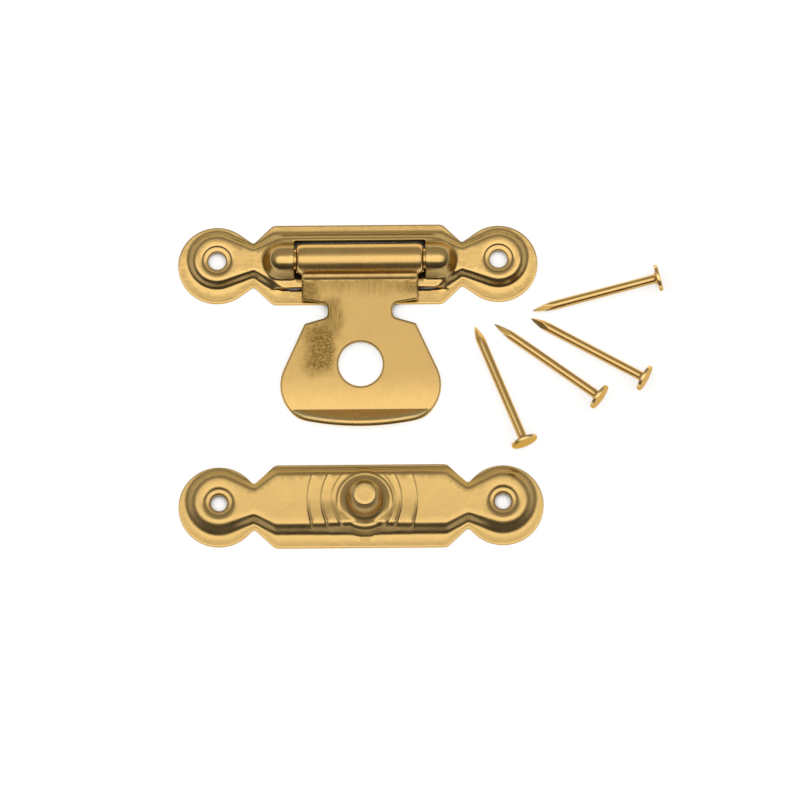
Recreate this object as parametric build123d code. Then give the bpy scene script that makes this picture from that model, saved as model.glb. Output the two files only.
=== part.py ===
from build123d import *
import math
import os

# A small pressed-sheet case hasp: a hinge plate with a swinging leaf, a stud plate and four nails.
# Millimetres. The back of the plates lies on Z = 0, and the origin is midway between the hinge
# plate's two nail holes. X runs along the plates, and the leaf hangs towards -Y.

os.makedirs("parts", exist_ok=True)

# Hinge plate, pressed from one sheet
plate_sheet = 0.4
hinge_nail_spacing = 31.4
hinge_hole_r = 1.0
hinge_seat_floor_r = 1.25
hinge_seat_mouth_r = 1.75
hinge_crest_lobe_r = 2.3
hinge_crest_neck_half = 1.25
hinge_crest_body_half = 2.73
hinge_crest_y = -0.26
hinge_lobe_flank = 0.8
hinge_neck_flank = 0.5
hinge_body_flank = 0.6
hinge_foot_y = -0.1
hinge_lobe_rim = 1.25
hinge_neck_rim = 0.7
hinge_body_rim = 1.22
hinge_blank_y = -0.4
hinge_neck_run = 1.9
hinge_shoulder_run = 2.2
hinge_crest_shoulder_run = 3.4

# Hinge pin, its two covers and the window between them
pin_r = 1.2
pin_y = -0.22
pin_cover_gap = 0.08
pin_end_chamfer = 0.2
knuckle_x = 0.23
cover_foot_half = 2.1
cover_reach = 3.45
window_half = 7.34
window_front_y = -2.25
window_back_y = 2.2
strap_inset = 0.3
strap_width = 0.9
slit_half = 9.95

# Leaf, one sheet rolled round the pin at its root
leaf_sheet = 0.5
running_clearance = 0.05
knuckle_lift = 0.2
knuckle_side_gap = 0.24
knuckle_end_chamfer = 0.25
knuckle_seam = 0.12
leaf_root_inset = 0.6
leaf_shoulder_w = 4.5
leaf_shoulder_round = 0.2
leaf_notch_top_w = 5.0
leaf_notch_bottom_w = 6.45
leaf_neck_half = 3.6
leaf_notch_round = 0.65
leaf_corner_w = 7.2
leaf_corner_half = 6.2
leaf_widest_w = 14.1
leaf_widest_half = 8.95
leaf_corner_r = 4.4
leaf_end_w = 19.0
leaf_hole_w = 11.76
leaf_hole_r = 2.46
lip_bend_w = 17.1
lip_angle = 42.0
strip_clearance = 0.08

# Stud plate, drawn from one sheet together with its stud
stud_nail_spacing = 31.46
stud_hole_r = 0.92
stud_seat_floor_r = 1.2
stud_seat_mouth_r = 1.8
stud_plate_x = 0.18
stud_plate_gap = 4.64
stud_plate_rise = 1.5
stud_crest_lobe_r = 2.6
stud_crest_neck_half = 1.55
stud_crest_body_half = 2.7
stud_crest_y = 0.3
stud_lobe_flank = 1.0
stud_neck_flank = 0.5
stud_body_flank = 1.0
stud_foot_y = 0.2
stud_lobe_rim = 0.9
stud_neck_rim = 0.45
stud_body_rim = 1.0
stud_blank_y = -0.33
stud_neck_run = 1.0
stud_shoulder_run = 2.35
stud_crest_shoulder_run = 2.3
stud_x = 0.42
stud_y = 0.1
stud_r = 1.95
stud_top_r = 1.3
stud_height = 4.9
collar_width = 0.12
collar_z = 2.15
mound_r = 2.75
ledge_r = 3.0
ledge_z = 1.75
mound_foot_r = 3.35
witness_step = 0.07
witness_ring_radii = (5.95, 4.67)

# Corners of all the pressed outlines
shoulder_round = 0.9
neck_round = 0.35

# Nails
nail_length = 14.7
nail_shank_r = 0.5
nail_head_r = 1.5
nail_head_thickness = 0.45
nail_head_chamfer = 0.1
nail_point_length = 2.5
nail_point_tip = 0.02
nail_collar_r = 0.75
nail_collar_length = 0.3

# Where each nail lies: the middle of its length in X and Y, and the way its head points
nail_places = (
    ("nail_1", 26.59, -4.16, 13.6),
    ("nail_2", 25.63, -10.40, -29.9),
    ("nail_3", 21.05, -11.77, -36.9),
    ("nail_4", 15.72, -14.44, -68.3),
)

# The knuckle is the pin, its running clearance and one thickness of the leaf's sheet
knuckle_bore_r = pin_r + running_clearance
knuckle_r = knuckle_bore_r + leaf_sheet
knuckle_half = window_half - knuckle_side_gap
pin_z = knuckle_lift + knuckle_r

# The leaf droops from the pin until the bend of its lip lies on the case
leaf_droop = math.degrees(math.asin((pin_z - leaf_sheet / 2) / lip_bend_w))

# The hinge plate's body rises until it just clears the underside of the drooping leaf
strip_front_y = hinge_crest_y - hinge_crest_body_half
leaf_over_strip = (pin_y - strip_front_y) * math.tan(math.radians(leaf_droop))
leaf_under_strip = leaf_over_strip + leaf_sheet / 2 / math.cos(math.radians(leaf_droop))
hinge_rise = pin_z - leaf_under_strip - strip_clearance

cover_bore_r = pin_r + pin_cover_gap
cover_r = cover_bore_r + plate_sheet
cover_end_x = window_half + cover_reach - cover_foot_half


def circle_touch(corner, centre, radius, side):
    # The point where a straight edge from an outside corner meets a round end
    across = corner[0] - centre[0]
    along = corner[1] - centre[1]
    turn = math.acos(radius / math.hypot(across, along))
    angle = math.atan2(along, across) + side * turn
    return centre[0] + radius * math.cos(angle), centre[1] + radius * math.sin(angle)


def plate_outline(lobe_x, lobe_r, neck_x, neck_half, shoulder_x, body_half, body_y, lobe_y=0.0, z=0.0):
    # Two round lobes joined by straight-sided necks to a long body with cut-off shoulders
    touch = circle_touch((neck_x, neck_half), (lobe_x, 0), lobe_r, -1)
    back_edge = Polyline(
        (-touch[0], lobe_y + touch[1]),
        (-neck_x, lobe_y + neck_half),
        (-shoulder_x, body_y + body_half),
        (shoulder_x, body_y + body_half),
        (neck_x, lobe_y + neck_half),
        (touch[0], lobe_y + touch[1]),
    )
    front_edge = Polyline(
        (touch[0], lobe_y - touch[1]),
        (neck_x, lobe_y - neck_half),
        (shoulder_x, body_y - body_half),
        (-shoulder_x, body_y - body_half),
        (-neck_x, lobe_y - neck_half),
        (-touch[0], lobe_y - touch[1]),
    )
    reach = lobe_x + lobe_r
    right_end = ThreePointArc(back_edge @ 1, (reach, lobe_y), front_edge @ 0)
    left_end = ThreePointArc(front_edge @ 1, (-reach, lobe_y), back_edge @ 0)
    outline = make_face(back_edge + right_end + front_edge + left_end)
    shoulders = outline.vertices().filter_by(lambda v: abs(v.X) < shoulder_x + 0.01)
    outline = fillet(shoulders, shoulder_round)
    necks = outline.vertices().filter_by(lambda v: abs(abs(v.X) - neck_x) < 0.01)
    outline = fillet(necks, neck_round)
    return Pos(0, 0, z) * outline


def sheet_outlines(hole_x, crest, flank, rim, runs):
    # One outline three times: at the crest of the pressed form, at its foot and at the blank's edge
    lobe_r, neck_half, body_half, crest_y = crest
    lobe_flank, neck_flank, body_flank, foot_y = flank
    lobe_rim, neck_rim, body_rim, blank_y = rim
    neck_run, shoulder_run, crest_shoulder_run = runs
    blank_lobe_r = lobe_r + lobe_flank + lobe_rim
    blank_neck_half = neck_half + neck_flank + neck_rim
    neck_x = hole_x - math.sqrt(blank_lobe_r**2 + neck_run**2 - blank_neck_half**2)
    crest_outline = dict(
        lobe_x=hole_x,
        lobe_r=lobe_r,
        neck_x=neck_x,
        neck_half=neck_half,
        shoulder_x=neck_x - crest_shoulder_run,
        body_half=body_half,
        body_y=crest_y,
    )
    foot_outline = dict(
        crest_outline,
        lobe_r=lobe_r + lobe_flank,
        neck_half=neck_half + neck_flank,
        shoulder_x=neck_x - shoulder_run,
        body_half=body_half + body_flank,
        body_y=foot_y,
    )
    blank_outline = dict(
        foot_outline,
        lobe_r=blank_lobe_r,
        neck_half=blank_neck_half,
        body_half=foot_outline["body_half"] + body_rim,
        body_y=blank_y,
        lobe_y=blank_y,
    )
    return crest_outline, foot_outline, blank_outline


def pressed_sheet(blank, foot, crest, rise):
    # A flat rim with a hollow raised form: the sheet is as thick straight down wherever it slopes
    rim = extrude(plate_outline(**blank), plate_sheet)
    outside = loft([plate_outline(**foot, z=plate_sheet), plate_outline(**crest, z=rise)], ruled=True)
    inside = loft([plate_outline(**foot), plate_outline(**crest, z=rise - plate_sheet)], ruled=True)
    return rim + outside - inside


def nail_seat(hole_r, floor_r, mouth_r, rise):
    # The dished seat of a nail's head, pressed down to the case round the nail hole
    section = Polyline(
        (hole_r, 0),
        (floor_r, 0),
        (mouth_r, rise - plate_sheet),
        (mouth_r, rise),
        (floor_r, plate_sheet),
        (hole_r, plate_sheet),
        (hole_r, 0),
    )
    return revolve(Plane.XZ * make_face(section), Axis.Z)


def with_nail_seats(plate, spacing, hole_r, floor_r, mouth_r, rise):
    for side in (-1, 1):
        centre = Pos(side * spacing / 2, 0, 0)
        plate -= centre * extrude(Circle(mouth_r), rise + plate_sheet)
        plate += centre * nail_seat(hole_r, floor_r, mouth_r, rise)
    return plate


def pin_cover(radius, foot_half, foot_z, side):
    # A half-round tunnel along the pin with a rounded outer end, and flared sides down to the plate
    tunnel_section = Polyline((-radius, pin_z), (-foot_half, foot_z), (foot_half, foot_z), (radius, pin_z))
    tunnel_section += ThreePointArc((radius, pin_z), (0, pin_z + radius), (-radius, pin_z))
    tunnel = extrude(Plane.YZ * make_face(tunnel_section), cover_end_x - window_half)
    end_section = Polyline((0, pin_z + radius), (0, foot_z), (foot_half, foot_z), (radius, pin_z))
    end_section += ThreePointArc(
        (radius, pin_z),
        (radius * math.sin(math.pi / 4), pin_z + radius * math.cos(math.pi / 4)),
        (0, pin_z + radius),
    )
    end = revolve(Plane.XZ * make_face(end_section), Axis.Z)
    cover = Pos(window_half, 0, 0) * tunnel + Pos(cover_end_x, 0, 0) * end
    if side < 0:
        cover = Rot(0, 0, 180) * cover
    return Pos(knuckle_x, pin_y, 0) * cover


def pin_strap(side):
    # The tab folded under the pin that keeps it in its cover
    ring = Plane.YZ * (Circle(cover_r) - Circle(cover_bore_r))
    lower_half = extrude(ring, strap_width) & Pos(0, 0, -cover_r) * Box(
        4 * strap_width, 4 * cover_r, 2 * cover_r
    )
    start_x = window_half + strap_inset if side > 0 else -window_half - strap_inset - strap_width
    return Pos(knuckle_x + start_x, pin_y, pin_z) * lower_half


def make_hinge_plate():
    crest, foot, blank = sheet_outlines(
        hinge_nail_spacing / 2,
        crest=(hinge_crest_lobe_r, hinge_crest_neck_half, hinge_crest_body_half, hinge_crest_y),
        flank=(hinge_lobe_flank, hinge_neck_flank, hinge_body_flank, hinge_foot_y),
        rim=(hinge_lobe_rim, hinge_neck_rim, hinge_body_rim, hinge_blank_y),
        runs=(hinge_neck_run, hinge_shoulder_run, hinge_crest_shoulder_run),
    )
    plate = pressed_sheet(blank, foot, crest, hinge_rise)
    plate = with_nail_seats(
        plate, hinge_nail_spacing, hinge_hole_r, hinge_seat_floor_r, hinge_seat_mouth_r, hinge_rise
    )
    for side in (-1, 1):
        plate += pin_cover(cover_r, cover_foot_half, hinge_rise - plate_sheet, side)
    for side in (-1, 1):
        plate -= pin_cover(cover_bore_r, cover_foot_half - plate_sheet, hinge_rise - 2 * plate_sheet, side)
        plate += pin_strap(side)
    window_depth = window_back_y - window_front_y
    window_middle = (window_back_y + window_front_y) / 2
    plate -= Pos(knuckle_x, window_middle, 0) * Box(2 * window_half, window_depth, 4 * pin_z)
    slit_front_y = hinge_foot_y - hinge_crest_body_half - hinge_body_flank
    slit_width = strip_front_y - slit_front_y
    slit_middle = (strip_front_y + slit_front_y) / 2
    plate -= Pos(knuckle_x, slit_middle, 0) * Box(2 * slit_half, slit_width, 4 * pin_z)
    return plate


def make_hinge_pin():
    pin = Rot(0, 90, 0) * Cylinder(pin_r, 2 * cover_end_x)
    pin = chamfer(pin.edges().filter_by(GeomType.CIRCLE), pin_end_chamfer)
    return Pos(knuckle_x, pin_y, pin_z) * pin


def leaf_outline():
    # Flat shape of the leaf before its lip is bent: X across, and -Y along the leaf from the pin
    corner_x = leaf_widest_half - leaf_corner_r
    beyond = leaf_end_w - leaf_widest_w
    end_r = (corner_x**2 + beyond**2 - leaf_corner_r**2) / (2 * (beyond - leaf_corner_r))
    side_touch = circle_touch((leaf_corner_half, leaf_corner_w), (corner_x, leaf_widest_w), leaf_corner_r, 1)
    side_angle = math.atan2(side_touch[1] - leaf_widest_w, side_touch[0] - corner_x)
    end_angle = math.atan2(leaf_widest_w - leaf_end_w + end_r, corner_x)
    middle_angle = (side_angle + end_angle) / 2
    root_half = knuckle_half - leaf_root_inset
    root_w = (knuckle_bore_r + knuckle_r) / 2

    def on_corner(angle, mirror):
        x = corner_x + leaf_corner_r * math.cos(angle)
        w = leaf_widest_w + leaf_corner_r * math.sin(angle)
        return mirror * x, -w

    edges = []
    for mirror in (1, -1):
        edges += [
            Polyline(
                (mirror * root_half, -root_w),
                (mirror * root_half, -leaf_shoulder_w),
                (mirror * leaf_neck_half, -leaf_notch_top_w),
                (mirror * leaf_neck_half, -leaf_notch_bottom_w),
                (mirror * leaf_corner_half, -leaf_corner_w),
                on_corner(side_angle, mirror),
            ),
            ThreePointArc(
                on_corner(side_angle, mirror),
                on_corner(middle_angle, mirror),
                on_corner(end_angle, mirror),
            ),
        ]
    edges.append(ThreePointArc(on_corner(end_angle, 1), (0, -leaf_end_w), on_corner(end_angle, -1)))
    edges.append(Line((-root_half, -root_w), (root_half, -root_w)))
    outline = make_face(edges)
    notch_corners = outline.vertices().filter_by(lambda v: abs(abs(v.X) - leaf_neck_half) < 0.01)
    outline = fillet(notch_corners, leaf_notch_round)
    root_corners = outline.vertices().filter_by(lambda v: abs(v.Y + leaf_shoulder_w) < 0.01)
    outline = fillet(root_corners, leaf_shoulder_round)
    return outline - Pos(0, -leaf_hole_w) * Circle(leaf_hole_r)


def make_leaf():
    outline = leaf_outline()
    everything = 4 * leaf_end_w
    before_bend = Pos(0, everything / 2 - lip_bend_w) * Rectangle(everything, everything)
    past_bend = Pos(0, -everything / 2 - lip_bend_w) * Rectangle(everything, everything)
    flat = extrude(outline & before_bend, leaf_sheet / 2, both=True)
    lip = Pos(0, lip_bend_w, 0) * extrude(outline & past_bend, leaf_sheet / 2, both=True)
    bend_length = lip.bounding_box().size.X
    bend = Rot(0, 90, 0) * Cylinder(leaf_sheet / 2, bend_length)
    leaf = flat + Pos(0, -lip_bend_w, 0) * (Rot(-lip_angle, 0, 0) * lip + bend)
    roll = Rot(0, 90, 0) * Cylinder(knuckle_r, 2 * knuckle_half)
    roll = chamfer(roll.edges().filter_by(GeomType.CIRCLE), knuckle_end_chamfer)
    roll -= Rot(0, 90, 0) * Cylinder(knuckle_bore_r, 3 * knuckle_half)
    seam_z = -leaf_sheet / 2 - knuckle_seam / 2
    roll -= Pos(0, -knuckle_r, seam_z) * Box(3 * knuckle_half, 2 * leaf_sheet, knuckle_seam)
    return Pos(knuckle_x, pin_y, pin_z) * Rot(leaf_droop, 0, 0) * (leaf + roll)


def stud_outside():
    # Section from the flat top down over the wall, the collar and the mound to the plate
    shoulder = stud_r - stud_top_r
    bend = math.cos(math.pi / 4)
    collar_r = stud_r + collar_width
    section = Polyline((stud_r, stud_height - shoulder), (stud_r, collar_z), (collar_r, collar_z))
    section += Polyline((collar_r, collar_z), (mound_r, ledge_z), (ledge_r, ledge_z))
    section += Polyline(
        (ledge_r, ledge_z),
        (mound_foot_r, stud_plate_rise),
        (mound_foot_r, stud_plate_rise - plate_sheet),
        (0, stud_plate_rise - plate_sheet),
        (0, stud_height),
        (stud_top_r, stud_height),
    )
    section += ThreePointArc(
        (stud_top_r, stud_height),
        (stud_top_r + shoulder * bend, stud_height - shoulder + shoulder * bend),
        (stud_r, stud_height - shoulder),
    )
    return revolve(Plane.XZ * make_face(section), Axis.Z)


def stud_inside():
    # The hollow behind the stud, one sheet thickness inside it
    bore_r = stud_r - plate_sheet
    bore_top = stud_height - plate_sheet
    under_collar = collar_z - plate_sheet
    under_ledge = ledge_z - plate_sheet
    under_plate = stud_plate_rise - 2 * plate_sheet
    section = Polyline(
        (0, bore_top),
        (stud_top_r - plate_sheet / 2, bore_top),
        (bore_r, bore_top - (stud_r - stud_top_r)),
        (bore_r, under_collar),
        (mound_r - plate_sheet, under_ledge),
        (mound_r - plate_sheet, under_plate),
        (0, under_plate),
        (0, bore_top),
    )
    return revolve(Plane.XZ * make_face(section), Axis.Z)


def make_stud_plate():
    crest, foot, blank = sheet_outlines(
        stud_nail_spacing / 2,
        crest=(stud_crest_lobe_r, stud_crest_neck_half, stud_crest_body_half, stud_crest_y),
        flank=(stud_lobe_flank, stud_neck_flank, stud_body_flank, stud_foot_y),
        rim=(stud_lobe_rim, stud_neck_rim, stud_body_rim, stud_blank_y),
        runs=(stud_neck_run, stud_shoulder_run, stud_crest_shoulder_run),
    )
    plate = pressed_sheet(blank, foot, crest, stud_plate_rise)
    plate = with_nail_seats(
        plate, stud_nail_spacing, stud_hole_r, stud_seat_floor_r, stud_seat_mouth_r, stud_plate_rise
    )
    stud_place = Pos(stud_x, stud_y, 0)
    crest_prism = extrude(plate_outline(**crest), stud_height)
    for turn, ring_r in enumerate(witness_ring_radii, start=1):
        step_height = plate_sheet / 2 + turn * witness_step
        disc = extrude(Circle(ring_r), step_height)
        plate += stud_place * Pos(0, 0, stud_plate_rise - plate_sheet / 2) * disc & crest_prism
    plate += stud_place * stud_outside()
    plate -= stud_place * stud_inside()
    return plate


def make_nail():
    # Made upright with its point down, tip on the origin
    body_length = nail_length - nail_point_length - nail_head_thickness
    round_point = extrude(Circle(nail_shank_r), nail_point_length)
    sides = loft(
        [
            Rectangle(2 * nail_point_tip, 2 * nail_point_tip),
            Pos(0, 0, nail_point_length) * Rectangle(2 * nail_shank_r, 2 * nail_shank_r),
        ],
        ruled=True,
    )
    nail = round_point & sides
    nail += Pos(0, 0, nail_point_length) * extrude(Circle(nail_shank_r), body_length)
    head_z = nail_point_length + body_length
    collar = Cone(nail_shank_r, nail_collar_r, nail_collar_length)
    nail += Pos(0, 0, head_z - nail_collar_length / 2) * collar
    head = Cylinder(nail_head_r, nail_head_thickness)
    head = chamfer(head.edges().group_by(Axis.Z)[-1], nail_head_chamfer)
    return nail + Pos(0, 0, head_z + nail_head_thickness / 2) * head


def lay_nail(nail, middle_x, middle_y, heading):
    # A dropped nail rests on the rim of its head and on the shank where its point begins
    rests_apart = nail_length - nail_head_thickness - nail_point_length
    slope = math.atan2(nail_head_r - nail_shank_r, rests_apart)
    tip_z = nail_shank_r * math.cos(slope) - nail_point_length * math.sin(slope)
    half_run = nail_length / 2 * math.cos(slope)
    tip_x = middle_x - half_run * math.cos(math.radians(heading))
    tip_y = middle_y - half_run * math.sin(math.radians(heading))
    lying = Rot(0, 0, heading) * Rot(0, 90 - math.degrees(slope), 0) * nail
    return Pos(tip_x, tip_y, tip_z) * lying


lip_run = (leaf_end_w - lip_bend_w) * math.cos(math.radians(lip_angle))
leaf_end_y = pin_y - (lip_bend_w + lip_run) * math.cos(math.radians(leaf_droop))
stud_blank_half = stud_crest_body_half + stud_body_flank + stud_body_rim
stud_plate_y = leaf_end_y - stud_plate_gap - stud_blank_half - stud_blank_y

pieces = {
    "hinge_plate": make_hinge_plate(),
    "hinge_pin": make_hinge_pin(),
    "hasp_leaf": make_leaf(),
    "stud_plate": Pos(stud_plate_x, stud_plate_y, 0) * make_stud_plate(),
}
for nail_name, middle_x, middle_y, heading in nail_places:
    pieces[nail_name] = lay_nail(make_nail(), middle_x, middle_y, heading)

for name, piece in pieces.items():
    export_step(piece, f"parts/{name}.step")

print(f"pin height {pin_z:.3f}, leaf droop {leaf_droop:.3f} deg, hinge plate rise {hinge_rise:.3f}")
print(f"stud plate at Y {stud_plate_y:.3f}, leaf ends at Y {leaf_end_y:.3f}")
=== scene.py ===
import math
from functools import partial

import bpy
import bmesh
import numpy as np
from mathutils import Matrix, Vector
from mathutils.geometry import delaunay_2d_cdt


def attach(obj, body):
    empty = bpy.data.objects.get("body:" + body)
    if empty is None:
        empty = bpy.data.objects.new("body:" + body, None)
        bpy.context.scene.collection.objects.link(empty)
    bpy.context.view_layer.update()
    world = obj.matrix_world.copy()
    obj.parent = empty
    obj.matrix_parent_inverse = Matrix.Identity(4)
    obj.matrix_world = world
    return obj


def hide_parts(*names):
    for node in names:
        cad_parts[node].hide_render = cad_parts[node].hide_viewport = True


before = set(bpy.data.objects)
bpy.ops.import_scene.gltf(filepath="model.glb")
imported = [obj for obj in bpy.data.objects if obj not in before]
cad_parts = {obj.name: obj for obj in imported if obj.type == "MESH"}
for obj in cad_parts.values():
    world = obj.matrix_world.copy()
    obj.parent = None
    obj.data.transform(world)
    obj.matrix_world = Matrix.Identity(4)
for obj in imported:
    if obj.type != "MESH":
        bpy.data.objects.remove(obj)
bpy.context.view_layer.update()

# Small brass case lock: a hinge plate with its swinging leaf, a stud plate and four loose nails.
# Shapes are worked out in millimetres and turned to metres when a mesh is made.
mm = 0.001
deg = math.pi / 180
hingeLine = {"x": 0.23, "y": -0.22, "z": 1.95}  # middle of the pin, also the joint's place


# small helpers: lines and heights

def ease(t):
    t = np.clip(t, 0.0, 1.0)
    return t * t * (3.0 - 2.0 * t)


def softRamp(t, reach):
    # nothing below -reach, t itself above reach, a parabola between
    return np.where(t > reach, t, np.where(t < -reach, 0.0, (t + reach) ** 2 / (4.0 * reach)))


def softMax(a, b, reach):
    return np.maximum(a, b) + np.maximum(0.0, reach - np.abs(a - b)) ** 2 / (4.0 * reach)


def arcLine(centreX, centreY, radius, start, end, step=0.3):
    count = max(3, int(abs(end - start) * radius / step) + 2)
    turn = np.linspace(start, end, count)
    return [(centreX + radius * math.cos(a), centreY + radius * math.sin(a)) for a in turn]


def roundCorners(corners, step=0.12):
    # corners are (x, y, radius); a corner with no radius stays as it is
    line = []
    for i, (x, y, radius) in enumerate(corners):
        here = Vector((x, y))
        if radius == 0:
            line.append((x, y))
            continue
        back = (Vector(corners[i - 1][:2]) - here).normalized()
        on = (Vector(corners[(i + 1) % len(corners)][:2]) - here).normalized()
        half = back.angle(on) / 2
        centre = here + (back + on).normalized() * radius / math.sin(half)
        first = here + back * radius / math.tan(half) - centre
        last = here + on * radius / math.tan(half) - centre
        start = math.atan2(first.y, first.x)
        sweep = (math.atan2(last.y, last.x) - start + math.pi) % (2 * math.pi) - math.pi
        line += arcLine(centre.x, centre.y, radius, start, start + sweep, step)
    return line


def spacedLoop(line, step=0.3):
    # a closed line with points added on its long straight runs
    out = []
    for i, (x, y) in enumerate(line):
        nextX, nextY = line[(i + 1) % len(line)]
        count = max(1, round(math.hypot(nextX - x, nextY - y) / step))
        out += [(x + (nextX - x) * k / count, y + (nextY - y) * k / count) for k in range(count)]
    return np.array(out)


def shiftLoop(loop, inward):
    # each point of an anticlockwise loop moved inwards along its normal
    along = np.roll(loop, -1, axis=0) - np.roll(loop, 1, axis=0)
    along /= np.maximum(np.hypot(along[:, 0], along[:, 1]), 1e-9)[:, None]
    return loop + inward * np.stack((-along[:, 1], along[:, 0]), axis=1)


def insideBy(points, loop):
    # how far each point lies inside a closed loop, negative outside it
    x, y = np.asarray(points, float).T
    nearest = np.full(len(x), 1e9)
    inside = np.zeros(len(x), bool)
    for (ax, ay), (bx, by) in zip(loop, np.roll(loop, -1, axis=0)):
        ex, ey = bx - ax, by - ay
        t = np.clip(((x - ax) * ex + (y - ay) * ey) / (ex * ex + ey * ey + 1e-12), 0, 1)
        nearest = np.minimum(nearest, np.hypot(x - ax - t * ex, y - ay - t * ey))
        if ay != by:
            inside ^= ((ay > y) != (by > y)) & (x < ex * (y - ay) / ey + ax)
    return np.where(inside, nearest, -nearest)


def ringLoop(centreX, centreY, radius, spokes):
    turn = np.arange(spokes) * 2 * math.pi / spokes
    return np.stack((centreX + radius * np.cos(turn), centreY + radius * np.sin(turn)), axis=1)


# small helpers: meshes

def fillRegion(outline, holes, guides, seedStep):
    # triangles between an outline and its holes; guides are (line, closed, clearance from the cuts)
    points = []
    edges = []
    cuts = [outline] + holes
    cutIds = []
    for loop in cuts:
        first = len(points)
        points += [tuple(p) for p in loop]
        edges += [(first + k, first + (k + 1) % len(loop)) for k in range(len(loop))]
        cutIds.append(range(first, len(points)))
    for line, closed, clearance in guides:
        line = np.asarray(line, float)
        free = insideBy(line, outline) > clearance
        for hole in holes:
            free &= insideBy(line, hole) < -clearance
        first = len(points)
        place = np.cumsum(free) - 1
        points += [tuple(p) for p in line[free]]
        for k in range(len(line) if closed else len(line) - 1):
            j = (k + 1) % len(line)
            if free[k] and free[j]:
                edges.append((first + int(place[k]), first + int(place[j])))
    low, high = outline.min(axis=0), outline.max(axis=0)
    seeds = []
    for row, y in enumerate(np.arange(low[1], high[1], seedStep * 0.87)):  # nearly even-sided triangles
        seeds += [(x + (row % 2) * seedStep / 2, y) for x in np.arange(low[0], high[0], seedStep)]
    seeds = np.array(seeds)
    room = insideBy(seeds, outline)
    for hole in holes:
        room = np.minimum(room, -insideBy(seeds, hole))
    seeds = seeds[room > 0.5 * seedStep]
    taken = np.array(points)
    for block in np.array_split(seeds, 12):
        gap = np.hypot(block[:, None, 0] - taken[None, :, 0], block[:, None, 1] - taken[None, :, 1])
        points += [tuple(p) for p in block[gap.min(axis=1) > 0.6 * seedStep]]
    made = delaunay_2d_cdt([Vector(p) for p in points], edges, [], 0, 1e-5, True)
    flat = np.array([(v.x, v.y) for v in made[0]])
    triangles = np.array(made[2])
    a, b, c = flat[triangles[:, 0]], flat[triangles[:, 1]], flat[triangles[:, 2]]
    area = (b[:, 0] - a[:, 0]) * (c[:, 1] - a[:, 1]) - (b[:, 1] - a[:, 1]) * (c[:, 0] - a[:, 0])
    triangles[area < 0] = triangles[area < 0][:, ::-1]
    middle = (a + b + c) / 3
    keep = insideBy(middle, outline) > 0
    for hole in holes:
        keep &= insideBy(middle, hole) < 0
    came = {}
    for index, sources in enumerate(made[3]):
        for source in sources:
            came[source] = index
    rings = [[came[k] for k in ids] for ids in cutIds]
    return flat, triangles[keep], rings


def sheetShell(flat, triangles, top, bottom, openRings):
    # upper and lower skin of one sheet with its cut edges; the open rings are closed by other code
    count = len(flat)
    verts = [(x, y, z) for (x, y), z in zip(flat, top)] + [(x, y, z) for (x, y), z in zip(flat, bottom)]
    faces = [tuple(int(k) for k in t) for t in triangles]
    faces += [(c + count, b + count, a + count) for a, b, c in faces]
    sides = {(t[k], t[(k + 1) % 3]) for t in faces[:len(triangles)] for k in range(3)}
    left = {index for ring in openRings for index in ring}
    for a, b in sides:
        if (b, a) not in sides and not (a in left and b in left):
            faces.append((a + count, b + count, b, a))
    return verts, faces


def turnStrip(verts, faces, ring, centre, rows, endRing=None, flip=False):
    # rows of (radius, heights) turned about a centre, from a ring of vertices to a point or a ring
    def band(outer, inner):
        for k in range(len(outer)):
            j = (k + 1) % len(outer)
            quad = (outer[k], outer[j], inner[j], inner[k])
            faces.append(quad[::-1] if flip else quad)

    spokes = [math.atan2(verts[i][1] - centre[1], verts[i][0] - centre[0]) for i in ring]
    previous = ring
    for radius, heights in rows:
        heights = np.broadcast_to(heights, len(ring))
        first = len(verts)
        verts += [(centre[0] + radius * math.cos(a), centre[1] + radius * math.sin(a), float(z))
                  for a, z in zip(spokes, heights)]
        row = list(range(first, len(verts)))
        band(previous, row)
        previous = row
    if endRing is not None:
        band(previous, endRing)
    else:
        verts.append((centre[0], centre[1], float(np.mean(rows[-1][1]))))
        for k in range(len(previous)):
            fan = (previous[k], previous[(k + 1) % len(previous)], len(verts) - 1)
            faces.append(fan[::-1] if flip else fan)


def cutGuides(loop, insets):
    # guides beside a cut; those of a hole lie outside its loop, so their insets are negative
    return [(shiftLoop(loop, inset), True, 0.01) for inset in insets]


def roundedSkins(top, bottom, cut, size):
    # both skins fall away towards the cut edge, the lower one by a share of what the upper one does
    radius = size["edgeRound"]
    inner = np.clip(radius - cut, 0.0, radius)
    rounding = radius - np.sqrt(radius * radius - inner * inner)
    return top - rounding, bottom + size["underShare"] * rounding


def meshFrom(name, verts, faces, fromCut):
    # "cutEdge" is 1 on the sheared edge of the sheet and 0 from this many mm in
    shearedBand = 0.12
    mesh = bpy.data.meshes.new(name)
    mesh.from_pydata([(x * mm, y * mm, z * mm) for x, y, z in verts], [], faces)
    sheared = np.zeros(len(verts), dtype=np.float32)
    sheared[:2 * len(fromCut)] = np.tile(np.clip(1.0 - fromCut / shearedBand, 0.0, 1.0), 2)
    mesh.attributes.new("cutEdge", "FLOAT", "POINT").data.foreach_set("value", sheared)
    work = bmesh.new()
    work.from_mesh(mesh)
    bmesh.ops.delete(work, geom=[v for v in work.verts if not v.link_faces], context="VERTS")
    work.to_mesh(mesh)
    work.free()
    return mesh


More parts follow.
